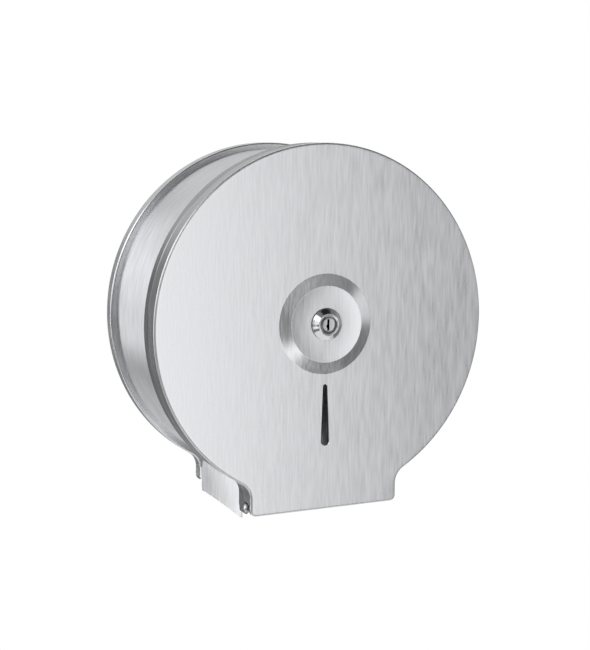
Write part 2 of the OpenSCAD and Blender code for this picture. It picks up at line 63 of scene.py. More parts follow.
class Shell:
    # gathers grids of points, and flat faces between their rows, into one closed mesh
    def __init__(self):
        self.points, self.quads, self.marks, self.fills = [], [], [], []
        self.count = 0

    def grid(self, points, rows, columns, mark=0, **closed):
        first = self.count
        self.points.append(points)
        quads = gridQuads(rows, columns, first, **closed)
        self.quads.append(quads)
        self.marks.append(np.broadcast_to(mark, len(quads)) if np.ndim(mark) == 0 else mark)
        self.count += len(points)
        return first + np.arange(rows * columns).reshape(rows, columns)

    def fill(self, *loops, mark=0):
        # a flat face inside the first loop of point numbers, with the others as holes
        self.fills.append((loops, mark))

    def build(self, name, merge=1e-7):
        mesh = bpy.data.meshes.new(name)
        quads = np.concatenate(self.quads)
        mesh.from_pydata(np.concatenate(self.points), [], quads.tolist())
        mesh.polygons.foreach_set("material_index", np.concatenate(self.marks).astype(np.int32))
        bm = bmesh.new()
        bm.from_mesh(mesh)
        bm.verts.ensure_lookup_table()
        for loops, mark in self.fills:
            edges = []
            for loop in loops:
                for a, b in zip(loop, np.roll(loop, -1)):
                    pair = (bm.verts[int(a)], bm.verts[int(b)])
                    edges.append(bm.edges.get(pair) or bm.edges.new(pair))
            made = bmesh.ops.triangle_fill(bm, use_beauty=True, edges=edges)
            for face in made["geom"]:
                if isinstance(face, bmesh.types.BMFace):
                    face.material_index = mark
        bmesh.ops.remove_doubles(bm, verts=bm.verts, dist=merge)
        bmesh.ops.dissolve_degenerate(bm, edges=bm.edges, dist=merge)
        bmesh.ops.recalc_face_normals(bm, faces=bm.faces)
        bm.to_mesh(mesh)
        bm.free()
        return bpy.data.objects.new(name, mesh)


def finishPiece(piece, body, materials, replaces=(), sharpAngle=32, bevel=0.0):
    bpy.context.scene.collection.objects.link(piece)
    marks = np.zeros(len(piece.data.polygons), np.int32)
    piece.data.polygons.foreach_get("material_index", marks)
    piece.data.materials.clear()
    for material in materials:
        piece.data.materials.append(material)
    piece.data.polygons.foreach_set("material_index", np.minimum(marks, len(materials) - 1))
    piece.data.shade_smooth()
    piece.data.set_sharp_from_angle(angle=math.radians(sharpAngle))
    if bevel:
        soft = piece.modifiers.new("softEdges", "BEVEL")
        soft.width = bevel * 0.001
        soft.segments = 2
        soft.limit_method = "ANGLE"
        soft.angle_limit = math.radians(sharpAngle)
        soft.use_clamp_overlap = True
    weighted = piece.modifiers.new("evenNormals", "WEIGHTED_NORMAL")
    weighted.keep_sharp = True
    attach(piece, body)
    if replaces:
        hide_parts(*replaces)
    return piece


def arc(centreX, centreZ, radius, start, end, count):
    # points on a circle from start to end degrees, with the directions away from its centre
    angle = np.radians(np.linspace(start, end, count))
    away = np.stack([np.cos(angle), np.sin(angle)], axis=-1)
    return np.array([centreX, centreZ]) + radius * away, away


def straight(fromPoint, toPoint, count, outward):
    share = np.linspace(0, 1, count)[:, None]
    points = np.array(fromPoint) * (1 - share) + np.array(toPoint) * share
    return points, np.broadcast_to(np.array(outward, float), points.shape)


def hollowCentre(size):
    # centre of the hollow corner between the foot's side and the round part, on the right
    x = size["footHalf"] + size["hollow"]
    return x, -math.sqrt((size["radius"] + size["hollow"]) ** 2 - x ** 2)


def footedHalf(size, stops=()):
    # right half of a round part with a foot, from the bottom centre to the top: a straight, the
    # lower corner, the side, the hollow corner and the round part, as points and outward normals.
    # stops are heights on the side that get a point of their own
    r, hw, low = size["radius"], size["footHalf"], size["footLow"]
    rf, rc = size["hollow"], size["corner"]
    cx, cz = hollowCentre(size)
    toCentre = math.degrees(math.atan2(-cz, -cx))
    heights = np.unique(np.concatenate([np.linspace(rc - low, cz, 7), stops]))
    side = np.stack([np.full_like(heights, hw), heights], axis=-1)
    hollow, inward = arc(cx, cz, rf, 180, toCentre, 14)
    parts = [
        straight((0, -low), (hw - rc, -low), 7, (0, -1)),
        arc(hw - rc, rc - low, rc, -90, 0, 12),
        (side, np.broadcast_to([1.0, 0.0], side.shape)),
        (hollow, -inward),
        arc(0, 0, r, math.degrees(math.atan2(cz, cx)), 90, size["steps"]),
    ]
    points = np.concatenate([p for p, _ in parts])
    normals = np.concatenate([n for _, n in parts])
    keep = np.r_[True, np.linalg.norm(np.diff(points, axis=0), axis=1) > 1e-6]
    return points[keep], normals[keep]


def mirrored(points, normals, closed=True):
    # adds the left half to a right half that ends at the top; a closed one starts bottom centre
    flip = np.array([-1.0, 1.0])
    left = slice(len(points) - 2, 0 if closed else None, -1)
    return (np.concatenate([points, points[left] * flip]),
            np.concatenate([normals, normals[left] * flip]))


def bend(inset, depth, radius, start, end, count=7):
    # a sheet bend in a section, as (inset, depth) pairs on an arc
    points, _ = arc(inset, depth, radius, start, end, count)
    return points


def carried(points, normals, section):
    # carries a section along a path: each point moves in from the path by the section's inset.
    # section has the shape (rows, 2), or (rows, path points, 2) where it changes along the path
    section = np.asarray(section, float)
    if section.ndim == 2:
        section = np.repeat(section[:, None, :], len(points), axis=1)
    place = points[None] - section[..., :1] * normals[None]
    return toWorld(place[..., 0], place[..., 1], section[..., 1])


def fullTurn(count):
    # the angles of count even steps round a full turn, in radians, as one row
    return np.radians(np.arange(count) * 360 / count)[None, :]


def turned(profile, count):
    # turns a profile of (radius, depth) pairs round the drum's axis
    profile = np.asarray(profile, float)
    angle = fullTurn(count)
    return toWorld(profile[:, :1] * np.cos(angle), profile[:, :1] * np.sin(angle), profile[:, 1:])


# Materials

def newGroup(name, inputs, outputs):
    group = bpy.data.node_groups.new(name, "ShaderNodeTree")
    for label, kind, value in inputs:
        socket = group.interface.new_socket(name=label, in_out="INPUT", socket_type=kind)
        if value is not None:
            socket.default_value = value
    for label, kind in outputs:
        group.interface.new_socket(name=label, in_out="OUTPUT", socket_type=kind)
    return group, group.nodes.new("NodeGroupInput"), group.nodes.new("NodeGroupOutput")


def addNode(tree, kind, links=None, **settings):
    # makes a node, sets its properties, and fills its inputs with values or links
    node = tree.nodes.new(kind)
    for key, value in settings.items():
        setattr(node, key, value)
    for key, value in (links or {}).items():
        if isinstance(value, bpy.types.NodeSocket):
            tree.links.new(value, node.inputs[key])
        else:
            node.inputs[key].default_value = value
    return node


def newMaterial(name):
    material = bpy.data.materials.new(name)
    material.use_nodes = True
    return material, material.node_tree, material.node_tree.nodes["Principled BSDF"]


def streakGroup():
    # long fine scratches: two noises squeezed across the grain, with slow cloudiness. Colour and
    # roughness vary about their middle with the strengths given
    group, start, end = newGroup(
        "brushedGrain",
        [("Along Grain", "NodeSocketVector", None), ("Cross Scale", "NodeSocketFloat", 800.0),
         ("Long Scale", "NodeSocketFloat", 50.0), ("Base Color", "NodeSocketColor", (0.8, 0.8, 0.8, 1)),
         ("Tone Strength", "NodeSocketFloat", 0.1), ("Roughness", "NodeSocketFloat", 0.3),
         ("Rough Strength", "NodeSocketFloat", 0.1)],
        [("Color", "NodeSocketColor"), ("Roughness", "NodeSocketFloat"), ("Height", "NodeSocketFloat")])
    t = group
    across = start.outputs["Cross Scale"]
    squeeze = addNode(t, "ShaderNodeCombineXYZ", {0: across, 1: across, 2: start.outputs["Long Scale"]})
    place = addNode(t, "ShaderNodeVectorMath", {0: start.outputs["Along Grain"], 1: squeeze.outputs[0]},
                    operation="MULTIPLY")
    fine = addNode(t, "ShaderNodeTexNoise", {"Vector": place.outputs[0], "Scale": 1.0, "Detail": 0.4})
    coarse = addNode(t, "ShaderNodeTexNoise", {"Vector": place.outputs[0], "Scale": 0.37, "Detail": 0.0})
    slow = addNode(t, "ShaderNodeTexNoise", {"Vector": start.outputs["Along Grain"], "Scale": 12.0,
                                             "Detail": 1.0})
    mixed = addNode(t, "ShaderNodeMath", {0: coarse.outputs[0], 1: 0.35, 2: fine.outputs[0]},
                    operation="MULTIPLY_ADD")
    both = addNode(t, "ShaderNodeMath", {0: slow.outputs[0], 1: 0.12, 2: mixed.outputs[0]},
                   operation="MULTIPLY_ADD")
    middle = addNode(t, "ShaderNodeMath", {0: both.outputs[0], 1: -0.735}, operation="ADD")
    tone = addNode(t, "ShaderNodeMath", {0: middle.outputs[0], 1: start.outputs["Tone Strength"], 2: 1.0},
                   operation="MULTIPLY_ADD")
    colour = addNode(t, "ShaderNodeVectorMath", {0: start.outputs["Base Color"], "Scale": tone.outputs[0]},
                     operation="SCALE")
    rough = addNode(t, "ShaderNodeMath", {0: middle.outputs[0], 1: start.outputs["Rough Strength"],
                                          2: start.outputs["Roughness"]}, operation="MULTIPLY_ADD")
    t.links.new(colour.outputs[0], end.inputs["Color"])
    t.links.new(rough.outputs[0], end.inputs["Roughness"])
    t.links.new(fine.outputs[0], end.inputs["Height"])
    return group


def roundGroup():
    # coordinates that follow a turned grain: distance from the axis, depth, and the angle round the
    # axis in radians, which takes the place of z as the direction along the grain
    group, start, end = newGroup("roundGrain", [("Object", "NodeSocketVector", None)],
                                 [("Along Grain", "NodeSocketVector")])
    t = group
    split = addNode(t, "ShaderNodeSeparateXYZ", {0: start.outputs[0]})
    angle = addNode(t, "ShaderNodeMath", {0: split.outputs[0], 1: split.outputs[2]}, operation="ARCTAN2")
    flat = addNode(t, "ShaderNodeCombineXYZ", {0: split.outputs[0], 2: split.outputs[2]})
    radius = addNode(t, "ShaderNodeVectorMath", {0: flat.outputs[0]}, operation="LENGTH")
    short = addNode(t, "ShaderNodeMath", {0: angle.outputs[0], 1: 0.13}, operation="MULTIPLY")
    whole = addNode(t, "ShaderNodeCombineXYZ", {0: radius.outputs["Value"], 1: split.outputs[1],
                                                2: short.outputs[0]})
    t.links.new(whole.outputs[0], end.inputs[0])
    return group


grainGroup = streakGroup()
turnGroup = roundGroup()


def grainTangent(t, look):
    # the direction across the grain, along which the shine spreads. For upright grain it is
    # (0, 0, 1) x normal, for turned grain normal x ((0, 1, 0) x position); the small slant keeps
    # it from falling to zero where the two are parallel
    here = t.nodes["Texture Coordinate"].outputs
    if look.get("turnedShine", look.get("turnedGrain", False)):
        circling = addNode(t, "ShaderNodeVectorMath", {0: (0, 1, 0), 1: here["Object"]},
                           operation="CROSS_PRODUCT")
        across = addNode(t, "ShaderNodeVectorMath", {0: here["Normal"], 1: circling.outputs[0]},
                         operation="CROSS_PRODUCT")
        across = addNode(t, "ShaderNodeVectorMath", {0: across.outputs[0], 1: (0, 0.0005, 0.0002)},
                         operation="ADD")
    else:
        across = addNode(t, "ShaderNodeVectorMath", {0: (0.02, 0.01, 1), 1: here["Normal"]},
                         operation="CROSS_PRODUCT")
    turn = addNode(t, "ShaderNodeVectorTransform", {0: across.outputs[0]}, vector_type="VECTOR",
                   convert_from="OBJECT", convert_to="WORLD")
    return turn.outputs[0]


def steelMaterial(name, look):
    # metal with brushed grain, straight up the piece or turned round the drum's axis
    material, t, shader = newMaterial(name)
    place = addNode(t, "ShaderNodeTexCoord").outputs["Object"]
    if look.get("turnedGrain"):
        place = addNode(t, "ShaderNodeGroup", {"Object": place}, node_tree=turnGroup).outputs[0]
    grain = addNode(t, "ShaderNodeGroup", {
        "Along Grain": place, "Cross Scale": look["crossScale"], "Long Scale": look["longScale"],
        "Base Color": (*look["color"], 1), "Tone Strength": look["toneStrength"],
        "Roughness": look["roughness"], "Rough Strength": look["roughStrength"]}, node_tree=grainGroup)
    t.links.new(grain.outputs["Color"], shader.inputs["Base Color"])
    t.links.new(grain.outputs["Roughness"], shader.inputs["Roughness"])
    shader.inputs["Metallic"].default_value = 1.0
    shader.inputs["Anisotropic"].default_value = look["anisotropy"]
    t.links.new(grainTangent(t, look), shader.inputs["Tangent"])
    bump = addNode(t, "ShaderNodeBump", {"Strength": look["bump"], "Distance": 0.00002,
                                         "Height": grain.outputs["Height"]})
    t.links.new(bump.outputs[0], shader.inputs["Normal"])
    return material


steel = dict(color=(0.78, 0.785, 0.81), crossScale=650.0, longScale=62.0, toneStrength=0.32,
             roughness=0.3, roughStrength=0.1, anisotropy=0.5, bump=0.03)
# rolled rims: a smoother turned finish, and a colour darker than the flat steel of the same sheets, which is
# painted shade
rolled = dict(steel, color=(0.6, 0.605, 0.62), roughness=0.2, anisotropy=0.2, turnedGrain=True)
looks = {
    "coverFace": dict(steel),
    "coverEdge": dict(rolled),
    # the cover's bends: rougher, and darker than the face as painted shade that dims their highlight
    "coverBend": dict(steel, color=(0.7, 0.705, 0.72), roughness=0.42),
    "coverRing": dict(steel, roughness=0.22, anisotropy=0.8, turnedShine=True),
    "drumSteel": dict(steel, roughness=0.42, anisotropy=0.85, turnedGrain=True),
    # the front rim and its lugs: the darkest steel, painted shade under the cover's overhang
    "rimShadedSteel": dict(rolled, color=(0.46, 0.467, 0.485)),
    "coverInside": dict(steel, roughness=0.45),
    "panSteel": dict(rolled, color=(0.72, 0.725, 0.74), roughness=0.27),
    "panFace": dict(steel, roughness=0.3),
    "plateSteel": dict(steel, roughness=0.34, anisotropy=0.7),
    "spindleSteel": dict(steel, turnedGrain=True, roughness=0.28),
    "fastenerSteel": dict(steel, color=(0.6, 0.605, 0.62), toneStrength=0.05, roughness=0.3, anisotropy=0.0),
    "lockChrome": dict(steel, color=(0.8, 0.805, 0.82), roughness=0.06, roughStrength=0.02,
                       toneStrength=0.02, anisotropy=0.0, bump=0.02),
    "lockZinc": dict(steel, color=(0.72, 0.71, 0.68), roughness=0.38, anisotropy=0.0, crossScale=600.0,
                     longScale=600.0),
}
looks["plugFace"] = dict(looks["lockZinc"], color=(0.66, 0.665, 0.68), roughness=0.3)
# the plug's dish ring: dark chrome, painted shade in the recess
looks["plugRecessShade"] = dict(looks["lockChrome"], color=(0.3, 0.3, 0.32), roughness=0.2)
# the keyway's walls near black: painted shade in the hole
looks["keyway"] = dict(looks["lockZinc"], color=(0.04, 0.04, 0.045), roughness=0.6)
metals = {name: steelMaterial(name, look) for name, look in looks.items()}


def plasticMaterial(name, color, roughness, speckle):
    # moulded plastic: fine mould texture as bump, with faint changes of tone
    material, t, shader = newMaterial(name)
    place = addNode(t, "ShaderNodeTexCoord").outputs["Object"]
    cloud = addNode(t, "ShaderNodeTexNoise", {"Vector": place, "Scale": 60.0, "Detail": 3.0})
    grit = addNode(t, "ShaderNodeTexNoise", {"Vector": place, "Scale": 2500.0, "Detail": 1.0})
    tone = addNode(t, "ShaderNodeMapRange", {"Value": cloud.outputs[0], "To Min": 1 - speckle,
                                             "To Max": 1 + speckle})
    colour = addNode(t, "ShaderNodeVectorMath", {0: color, "Scale": tone.outputs[0]}, operation="SCALE")
    rough = addNode(t, "ShaderNodeMapRange", {"Value": cloud.outputs[0], "To Min": roughness - 0.06,
                                              "To Max": roughness + 0.06})
    bump = addNode(t, "ShaderNodeBump", {"Strength": 0.25, "Distance": 0.00003, "Height": grit.outputs[0]})
    t.links.new(colour.outputs[0], shader.inputs["Base Color"])
    t.links.new(rough.outputs[0], shader.inputs["Roughness"])
    t.links.new(bump.outputs[0], shader.inputs["Normal"])
    return material


sleevePlastic = plasticMaterial("sleevePlastic", (0.09, 0.09, 0.095), 0.5, 0.15)
washerPlastic = plasticMaterial("washerPlastic", (0.75, 0.75, 0.73), 0.45, 0.05)
print("materials made")


# Front cover

sheet = 1.0       # thickness of every sheet, mm
bendRadius = 1.6  # outer radius of the sheet bends, mm
edgeBreak = 0.2   # how far a cut edge of a sheet is broken, mm

cover = dict(radius=135.0, footHalf=61.0, footLow=142.5, hollow=14.0, corner=4.5, steps=150,
             depth=118.0, edge=104.3,             # flat face and rear edge of the turned-back rim
             notchTop=-133.1, notchDepth=114.0, notchRadius=3.4,   # cut-out round the hinge lugs
             faceInset=3.4,                       # where the swept edge hands over to the flat face
             bossRadius=38.0, bossTopRadius=29.0, bossHeight=2.5, bossFold=0.9, bossDish=0.8,
             bossSteps=144, holeRadius=9.6,
             slotTop=-46.0, slotLength=47.0, slotTopWidth=3.4, slotLowWidth=6.8, slotSoft=0.25)


def coverSection(c, points):
    # from the flat face over the bend and down the edge, round its rear and back on the inside.
    # The rear of the edge steps forward at the cut-out, with a round corner
    z, x = points[:, 1], np.abs(points[:, 0])
    below = c["notchTop"] - z
    r = c["notchRadius"]
    rise = np.sqrt(np.clip(r * r - np.clip(r - below, 0, r) ** 2, 0, None))
    rear = np.where(below > 1e-6, c["notchDepth"] - r + rise, c["edge"])
    b, d = bendRadius, c["depth"]
    outer = np.concatenate([[[c["faceInset"], d]], bend(b, d - b, b, 90, 180, 8)])
    inner = np.concatenate([bend(b, d - b, b - sheet, 180, 90, 6), [[c["faceInset"], d - sheet]]])
    rows = [np.repeat(outer[:, None], len(points), axis=1)]
    for inset, add in ((0, edgeBreak), (edgeBreak, 0), (sheet - edgeBreak, 0), (sheet, edgeBreak)):
        rows.append(np.stack([np.full_like(rear, inset), rear + add], axis=-1)[None])
    rows.append(np.repeat(inner[:, None], len(points), axis=1))
    return np.concatenate(rows)


def slotLoop(c, grow):
    # outline of the level slot: two round ends of unlike width joined by their tangents
    small, large = c["slotTopWidth"] / 2, c["slotLowWidth"] / 2
    top = c["slotTop"] - small
    low = c["slotTop"] - c["slotLength"] + large
    lean = math.degrees(math.asin((large - small) / (top - low)))
    upper, _ = arc(0, top, small + grow, lean, 180 - lean, 16)
    lower, _ = arc(0, low, large + grow, 180 - lean, 360 + lean, 20)
    return np.concatenate([upper, lower])


def bossProfile(c):
    # from the flat face up the cone, over the slightly dished top to the lock's hole, and back
    # inside. Each fold is a short arc between the two slopes
    rise = math.degrees(math.atan2(c["bossHeight"], c["bossRadius"] - c["bossTopRadius"]))
    d, h, f = c["depth"], c["bossHeight"], c["bossFold"]
    half = f * math.tan(math.radians(rise / 2))
    footFold, _ = arc(c["bossRadius"] + half, d + f, f, -90, -90 - rise, 5)
    topFold, _ = arc(c["bossTopRadius"] - half, d + h - f, f, 90 - rise, 90, 5)
    radii = np.linspace(c["bossTopRadius"] - half, 13.0, 12)[1:]
    span = (radii - 13.0) / (c["bossTopRadius"] - 13.0)
    dished = np.stack([radii, d + h - c["bossDish"] * (1 - span ** 2)], axis=-1)
    front = np.concatenate([[[c["bossRadius"] + 2, d]], footFold, topFold, dished,
                            [[c["holeRadius"], d + h - c["bossDish"]]]])
    back = front[::-1] - [0, sheet]
    return front, back


def makeCover(c):
    # the marks name zones of the finish and painted shade: 0 face, 1 edge darkened as painted shade, 2 ring
    # of the boss, 3 bend darkened as painted shade, 4 inside
    cornerSteps = 1 - np.cos(np.radians([20, 40, 60, 75, 90]))
    stops = np.concatenate([[c["notchTop"], c["notchTop"] - 0.02],
                            c["notchTop"] - c["notchRadius"] * cornerSteps])
    points, normals = mirrored(*footedHalf(c, stops))
    shell = Shell()
    section = coverSection(c, points)
    marks = np.zeros((len(section) - 1, len(points)), int)
    marks[1:7] = 3
    marks[7:] = 1
    ring = shell.grid(carried(points, normals, section), len(section), len(points),
                      mark=marks.reshape(-1), closedColumns=True)
    front, back = bossProfile(c)
    profile = np.concatenate([front, back])
    bossMarks = np.zeros((len(profile) - 1, c["bossSteps"]), int)
    bossMarks[3:8] = 2
    bossMarks[len(front) - 1:] = 4
    boss = shell.grid(turned(profile, c["bossSteps"]), len(profile), c["bossSteps"],
                      mark=bossMarks.reshape(-1), closedColumns=True)
    levels = [(c["slotSoft"], c["depth"]), (0, c["depth"] - c["slotSoft"]),
              (0, c["depth"] - sheet + c["slotSoft"]), (c["slotSoft"], c["depth"] - sheet)]
    loops = np.stack([np.c_[slotLoop(c, grow), np.full(36, level)] for grow, level in levels])
    slot = shell.grid(toWorld(loops[..., 0], loops[..., 1], loops[..., 2]), 4, 36, mark=1,
                      closedColumns=True)
    shell.fill(ring[0], boss[0], slot[0])
    shell.fill(ring[-1], boss[-1], slot[-1], mark=4)
    piece = shell.build("coverSheet")
    zones = ("coverFace", "coverEdge", "coverRing", "coverBend", "coverInside")
    return finishPiece(piece, "cover", [metals[zone] for zone in zones],
                       replaces=["front_cover"])


makeCover(cover)
print("cover made")


# Drum wall, front rim and back pan

drum = dict(radius=129.6, back=1.0, front=95.0, flange=9.0, fold=1.6, endX=67.2, steps=200)
rim = dict(cover, edge=94.0, front=104.0, webWidth=5.4, lugDepth=107.0, lugHeight=-138.0, lugRadius=4.4,
           # the lug's rear corner, as depth from the rear edge and height above the lug's bottom
           lugHeel=((0.0, 5.0), (0.6, 4.4), (1.0, 1.2), (2.2, 0.0)))
pan = dict(radius=135.0, footHalf=62.0, footLow=140.0, hollow=14.0, corner=4.5, steps=150,
           rimHeight=11.5, step=5.4, lap=3.0, footRim=8.0, footRimEnd=1.2,
           padRadius=52.0, padRise=2.6, padSteps=96, screwSpan=120.0, screwHole=3.0)


def makeDrum(d):
    # a rolled wall with a flange turned in at its rear, as one closed section carried round
    reach = math.degrees(math.acos(d["endX"] / d["radius"]))
    path, away = arc(0, 0, d["radius"], -reach, 180 + reach, d["steps"])
    f, back, front = d["fold"], d["back"], d["front"]
    section = np.concatenate([
        [[0, front - edgeBreak], [edgeBreak, front], [sheet - edgeBreak, front],
         [sheet, front - edgeBreak]],
        bend(f, back + f, f - sheet, 180, 270, 5), [[d["flange"], back + sheet], [d["flange"], back]],
        bend(f, back + f, f, 270, 180, 7)])
    shell = Shell()
    wall = shell.grid(carried(path, away, section), len(section), len(path), closedRows=True)
    shell.fill(wall[:, 0])
    shell.fill(wall[:, -1])
    return finishPiece(shell.build("drumSheet"), "body", [metals["drumSteel"]],
                       replaces=["drum_wall"])


def makeFrontRim(c):
    # an angle section round the drum that turns into a plain strip beside the foot: share is 1
    # where the web has its whole width and falls to 0 along the hollow corner
    points, normals = footedHalf(c, [c["lugHeight"] + c["lugRadius"]])
    keep = points[:, 1] > c["lugHeight"] + c["lugRadius"] - 1e-6
    keep &= points[:, 0] > 1e-9
    keep[-1] = True
    points, normals = mirrored(points[keep], normals[keep], closed=False)
    _, cz = hollowCentre(c)
    onRound = np.hypot(points[:, 0], points[:, 1]) < c["radius"] + 1e-6
    share = np.clip((points[:, 1] - cz) / (c["hollow"] * 0.9), 0, 1)
    share = np.where(onRound & (points[:, 1] > cz), 1, share)[None, :, None]
    b, rear, front = bendRadius, c["edge"], c["front"]
    outer = bend(1, 1, 1, 180, 270, 7)[:, None] * b * share + [0, rear]
    reach = sheet + (c["webWidth"] - sheet) * share[0, :, 0]
    web = np.stack([np.stack([reach, np.full_like(reach, rear + up)], -1) for up in (0, sheet)])
    inner = bend(1, 1, 1, 270, 180, 5)[:, None] * (b - sheet) * share + [sheet, rear + sheet]
    lip = np.array([[sheet, front - edgeBreak], [sheet - edgeBreak, front], [edgeBreak, front],
                    [0, front - edgeBreak]])
    lip = np.repeat(lip[:, None], len(points), axis=1)
    section = np.concatenate([outer, web, inner, lip])
    shell = Shell()
    strip = shell.grid(carried(points, normals, section), len(section), len(points), closedRows=True)
    shell.fill(strip[:, 0])
    shell.fill(strip[:, -1])
    for side in (-1, 1):
        lugPlate(shell, c, side)
    return finishPiece(shell.build("frontRimSheet"), "body", [metals["rimShadedSteel"]],
                       replaces=["front_rim"])


def lugPlate(shell, c, side):
    # the strip's end and the round lug as one flat outline in depth and height, a sheet thick
    d, z, r = c["lugDepth"], c["lugHeight"], c["lugRadius"]
    nose, _ = arc(d, z, r, -90, 90, 24)
    heel = np.array(c["lugHeel"]) + [c["edge"], z - r]
    outline = np.concatenate([[[c["front"], z + r], [c["edge"], z + r]], heel, nose])
    across = np.array([c["footHalf"] - sheet, c["footHalf"]])[:, None] * side
    plate = shell.grid(toWorld(across, outline[None, :, 1], outline[None, :, 0]), 2, len(outline),
                       closedColumns=True)
    shell.fill(plate[0])
    shell.fill(plate[1])


def makePan(c):
    # the round rim as a closed channel section, which fades to the plain sheet at the foot, the
    # flat pan with its raised pad, and the two low rims beside the foot
    points, normals = mirrored(*footedHalf(c))
    cx, cz = hollowCentre(c)
    turnX = cx * c["radius"] / (c["radius"] + c["hollow"])
    onRound = (np.abs(points[:, 0]) > turnX - 1e-6) | (points[:, 1] > cz)
    onSide = ~onRound & (points[:, 1] > c["footRimEnd"] - c["footLow"])
    top = np.where(onRound, c["rimHeight"], np.where(onSide, c["footRim"], sheet + 0.01))
    turn = np.where(onRound, 1.0, 0.0)
    b = bendRadius
    shell = Shell()
    corner = bend(1, 1, 1, 270, 180, 7)[:, None] * b
    low = np.concatenate([[[[c["lap"], 0.0]]], corner])
    low = np.broadcast_to(low, (8, len(points), 2)).copy()
    low[..., 1] = np.minimum(low[..., 1], top)
    head = bend(1, -1, 1, 180, 90, 7)[:, None] * b
    head = np.broadcast_to(head, (7, len(points), 2)) * turn[None, :, None] + np.stack([0 * top, top], -1)
    web = np.stack([np.where(onRound, c["step"], 0.3), top], -1)
    under = np.stack([np.where(onRound, c["step"], sheet - 0.3), top - sheet * turn], -1)
    inside = bend(1, -1, 1, 90, 180, 5)[:, None] * (b - sheet)
    inside = np.broadcast_to(inside, (5, len(points), 2)) * turn[None, :, None] + np.stack(
        [sheet + 0 * top, top - sheet * turn], -1)
    foot = np.broadcast_to(bend(b, b, b - sheet, 180, 270, 5)[:, None], (5, len(points), 2)).copy()
    foot[..., 1] = np.minimum(foot[..., 1], top)
    last = np.broadcast_to([[[c["lap"], sheet]]], (1, len(points), 2))
    section = np.concatenate([low, head, web[None], under[None], inside, foot, last])
    ring = shell.grid(carried(points, normals, section), len(section), len(points), closedColumns=True)
    # the pad's skins behind and before the sheet: a slope with a softened fold at its foot and top
    r, rise, half = c["padRadius"], c["padRise"], sheet / 2
    behind = [[r + 2, 0], [r + 0.4, 0], [r - half, 0.3], [r - half - rise + 0.4, rise - 0.1],
              [r - half - rise - 0.6, rise], [30.0, rise], [0.0, rise]]
    before = [[r + 2, sheet], [r + 0.5, sheet], [r - 0.3, sheet + 0.3], [r - rise + 0.3, rise + sheet - 0.2],
              [r - rise - 0.6, rise + sheet], [30.0, rise + sheet], [0.0, rise + sheet]]
    steps = c["padSteps"]
    padBack = shell.grid(turned(behind, steps), len(behind), steps, mark=1, closedColumns=True)
    padFront = shell.grid(turned(before, steps), len(before), steps, mark=1, closedColumns=True)
    holes = []
    for x in (-0.5, 0.5):
        for z in (-0.5, 0.5):
            circle, _ = arc(x * c["screwSpan"], z * c["screwSpan"], c["screwHole"], 0, 345, 24)
            wall = toWorld(circle[None, :, 0], circle[None, :, 1], np.array([[0.0], [sheet]]))
            holes.append(shell.grid(wall, 2, 24, mark=1, closedColumns=True))
    shell.fill(ring[0], padBack[0], *[h[0] for h in holes], mark=1)
    shell.fill(ring[-1], padFront[0], *[h[1] for h in holes], mark=1)
    return finishPiece(shell.build("backPanSheet"), "body",
                       [metals["panSteel"], metals["panFace"]], replaces=["back_pan"])


makeDrum(drum)
makeFrontRim(rim)
makePan(pan)
print("drum, front rim and back pan made")


# Tear plates

tear = dict(radius=128.6, footHalf=60.0, hollow=15.0, footLow=142.5, rearReach=4.8, midReach=3.3,
            frontReach=6.3, pitch=1.5, tooth=0.7, start=9.5, end=96.0, lap=24.0,
            bow=1.8, bowTop=10.0, bowFade=14.0)   # the bow starts at bowTop above the hollow corner


def makeTearPlate(t, side):
    # a sheet that lies inside the drum wall, turns out of it and hangs down beside the foot. Its
    # lower edge is an arch through three reaches, with fine teeth, as a function of the depth
    teeth = int((t["end"] - t["start"]) / t["pitch"])
    share = np.arange(2 * teeth + 1) / (2 * teeth)
    edge = (-t["footLow"] - t["rearReach"] * (1 - share) * (1 - 2 * share)
            - t["midReach"] * 4 * share * (1 - share) - t["frontReach"] * share * (2 * share - 1))
    edge = edge + np.where(np.arange(2 * teeth + 1) % 2 == 0, t["tooth"], 0)
    depth = t["start"] + share * (t["end"] - t["start"])
    cx, cz = hollowCentre(t)
    hollow, inward = arc(cx, cz, t["hollow"], 180, math.degrees(math.atan2(-cz, -cx)), 16)
    first = math.degrees(math.atan2(cz, cx))
    last = math.degrees(math.asin((cz + t["lap"]) / t["radius"]))
    wall, away = arc(0, 0, t["radius"], first, last, 14)
    points = np.concatenate([hollow, wall[1:]])
    normals = np.concatenate([-inward, away[1:]])
    up = np.array([0.0, 0.1, 0.3, 0.5, 0.75])[:, None]      # share of the way up the straight stretch
    skins = []
    for inset in (0.0, sheet):
        straightX = np.full((len(up), len(depth)), t["footHalf"] - inset)
        straightZ = edge + up * (cz - edge)
        place = points - inset * normals
        x = np.concatenate([straightX, np.repeat(place[:, :1], len(depth), 1)])
        z = np.concatenate([straightZ, np.repeat(place[:, 1:], len(depth), 1)])
        free = np.clip((cz + t["bowTop"] - z) / t["bowFade"], 0, 1)
        x = x + t["bow"] * 4 * share * (1 - share) * free * free * (3 - 2 * free)
        skins.append((x * side, z))
    x = np.concatenate([skins[0][0], skins[1][0][::-1]])
    z = np.concatenate([skins[0][1], skins[1][1][::-1]])
    shell = Shell()
    plate = shell.grid(toWorld(x, z, depth[None]), len(x), len(depth), closedRows=True)
    shell.fill(plate[:, 0])
    shell.fill(plate[:, -1])
    name = "right" if side > 0 else "left"
    return finishPiece(shell.build(name + "TearSheet"), "body", [metals["plateSteel"]],
                       replaces=[name + "_tear_plate"], sharpAngle=28)


for side in (-1, 1):
    makeTearPlate(tear, side)
print("tear plates made")


# Lock

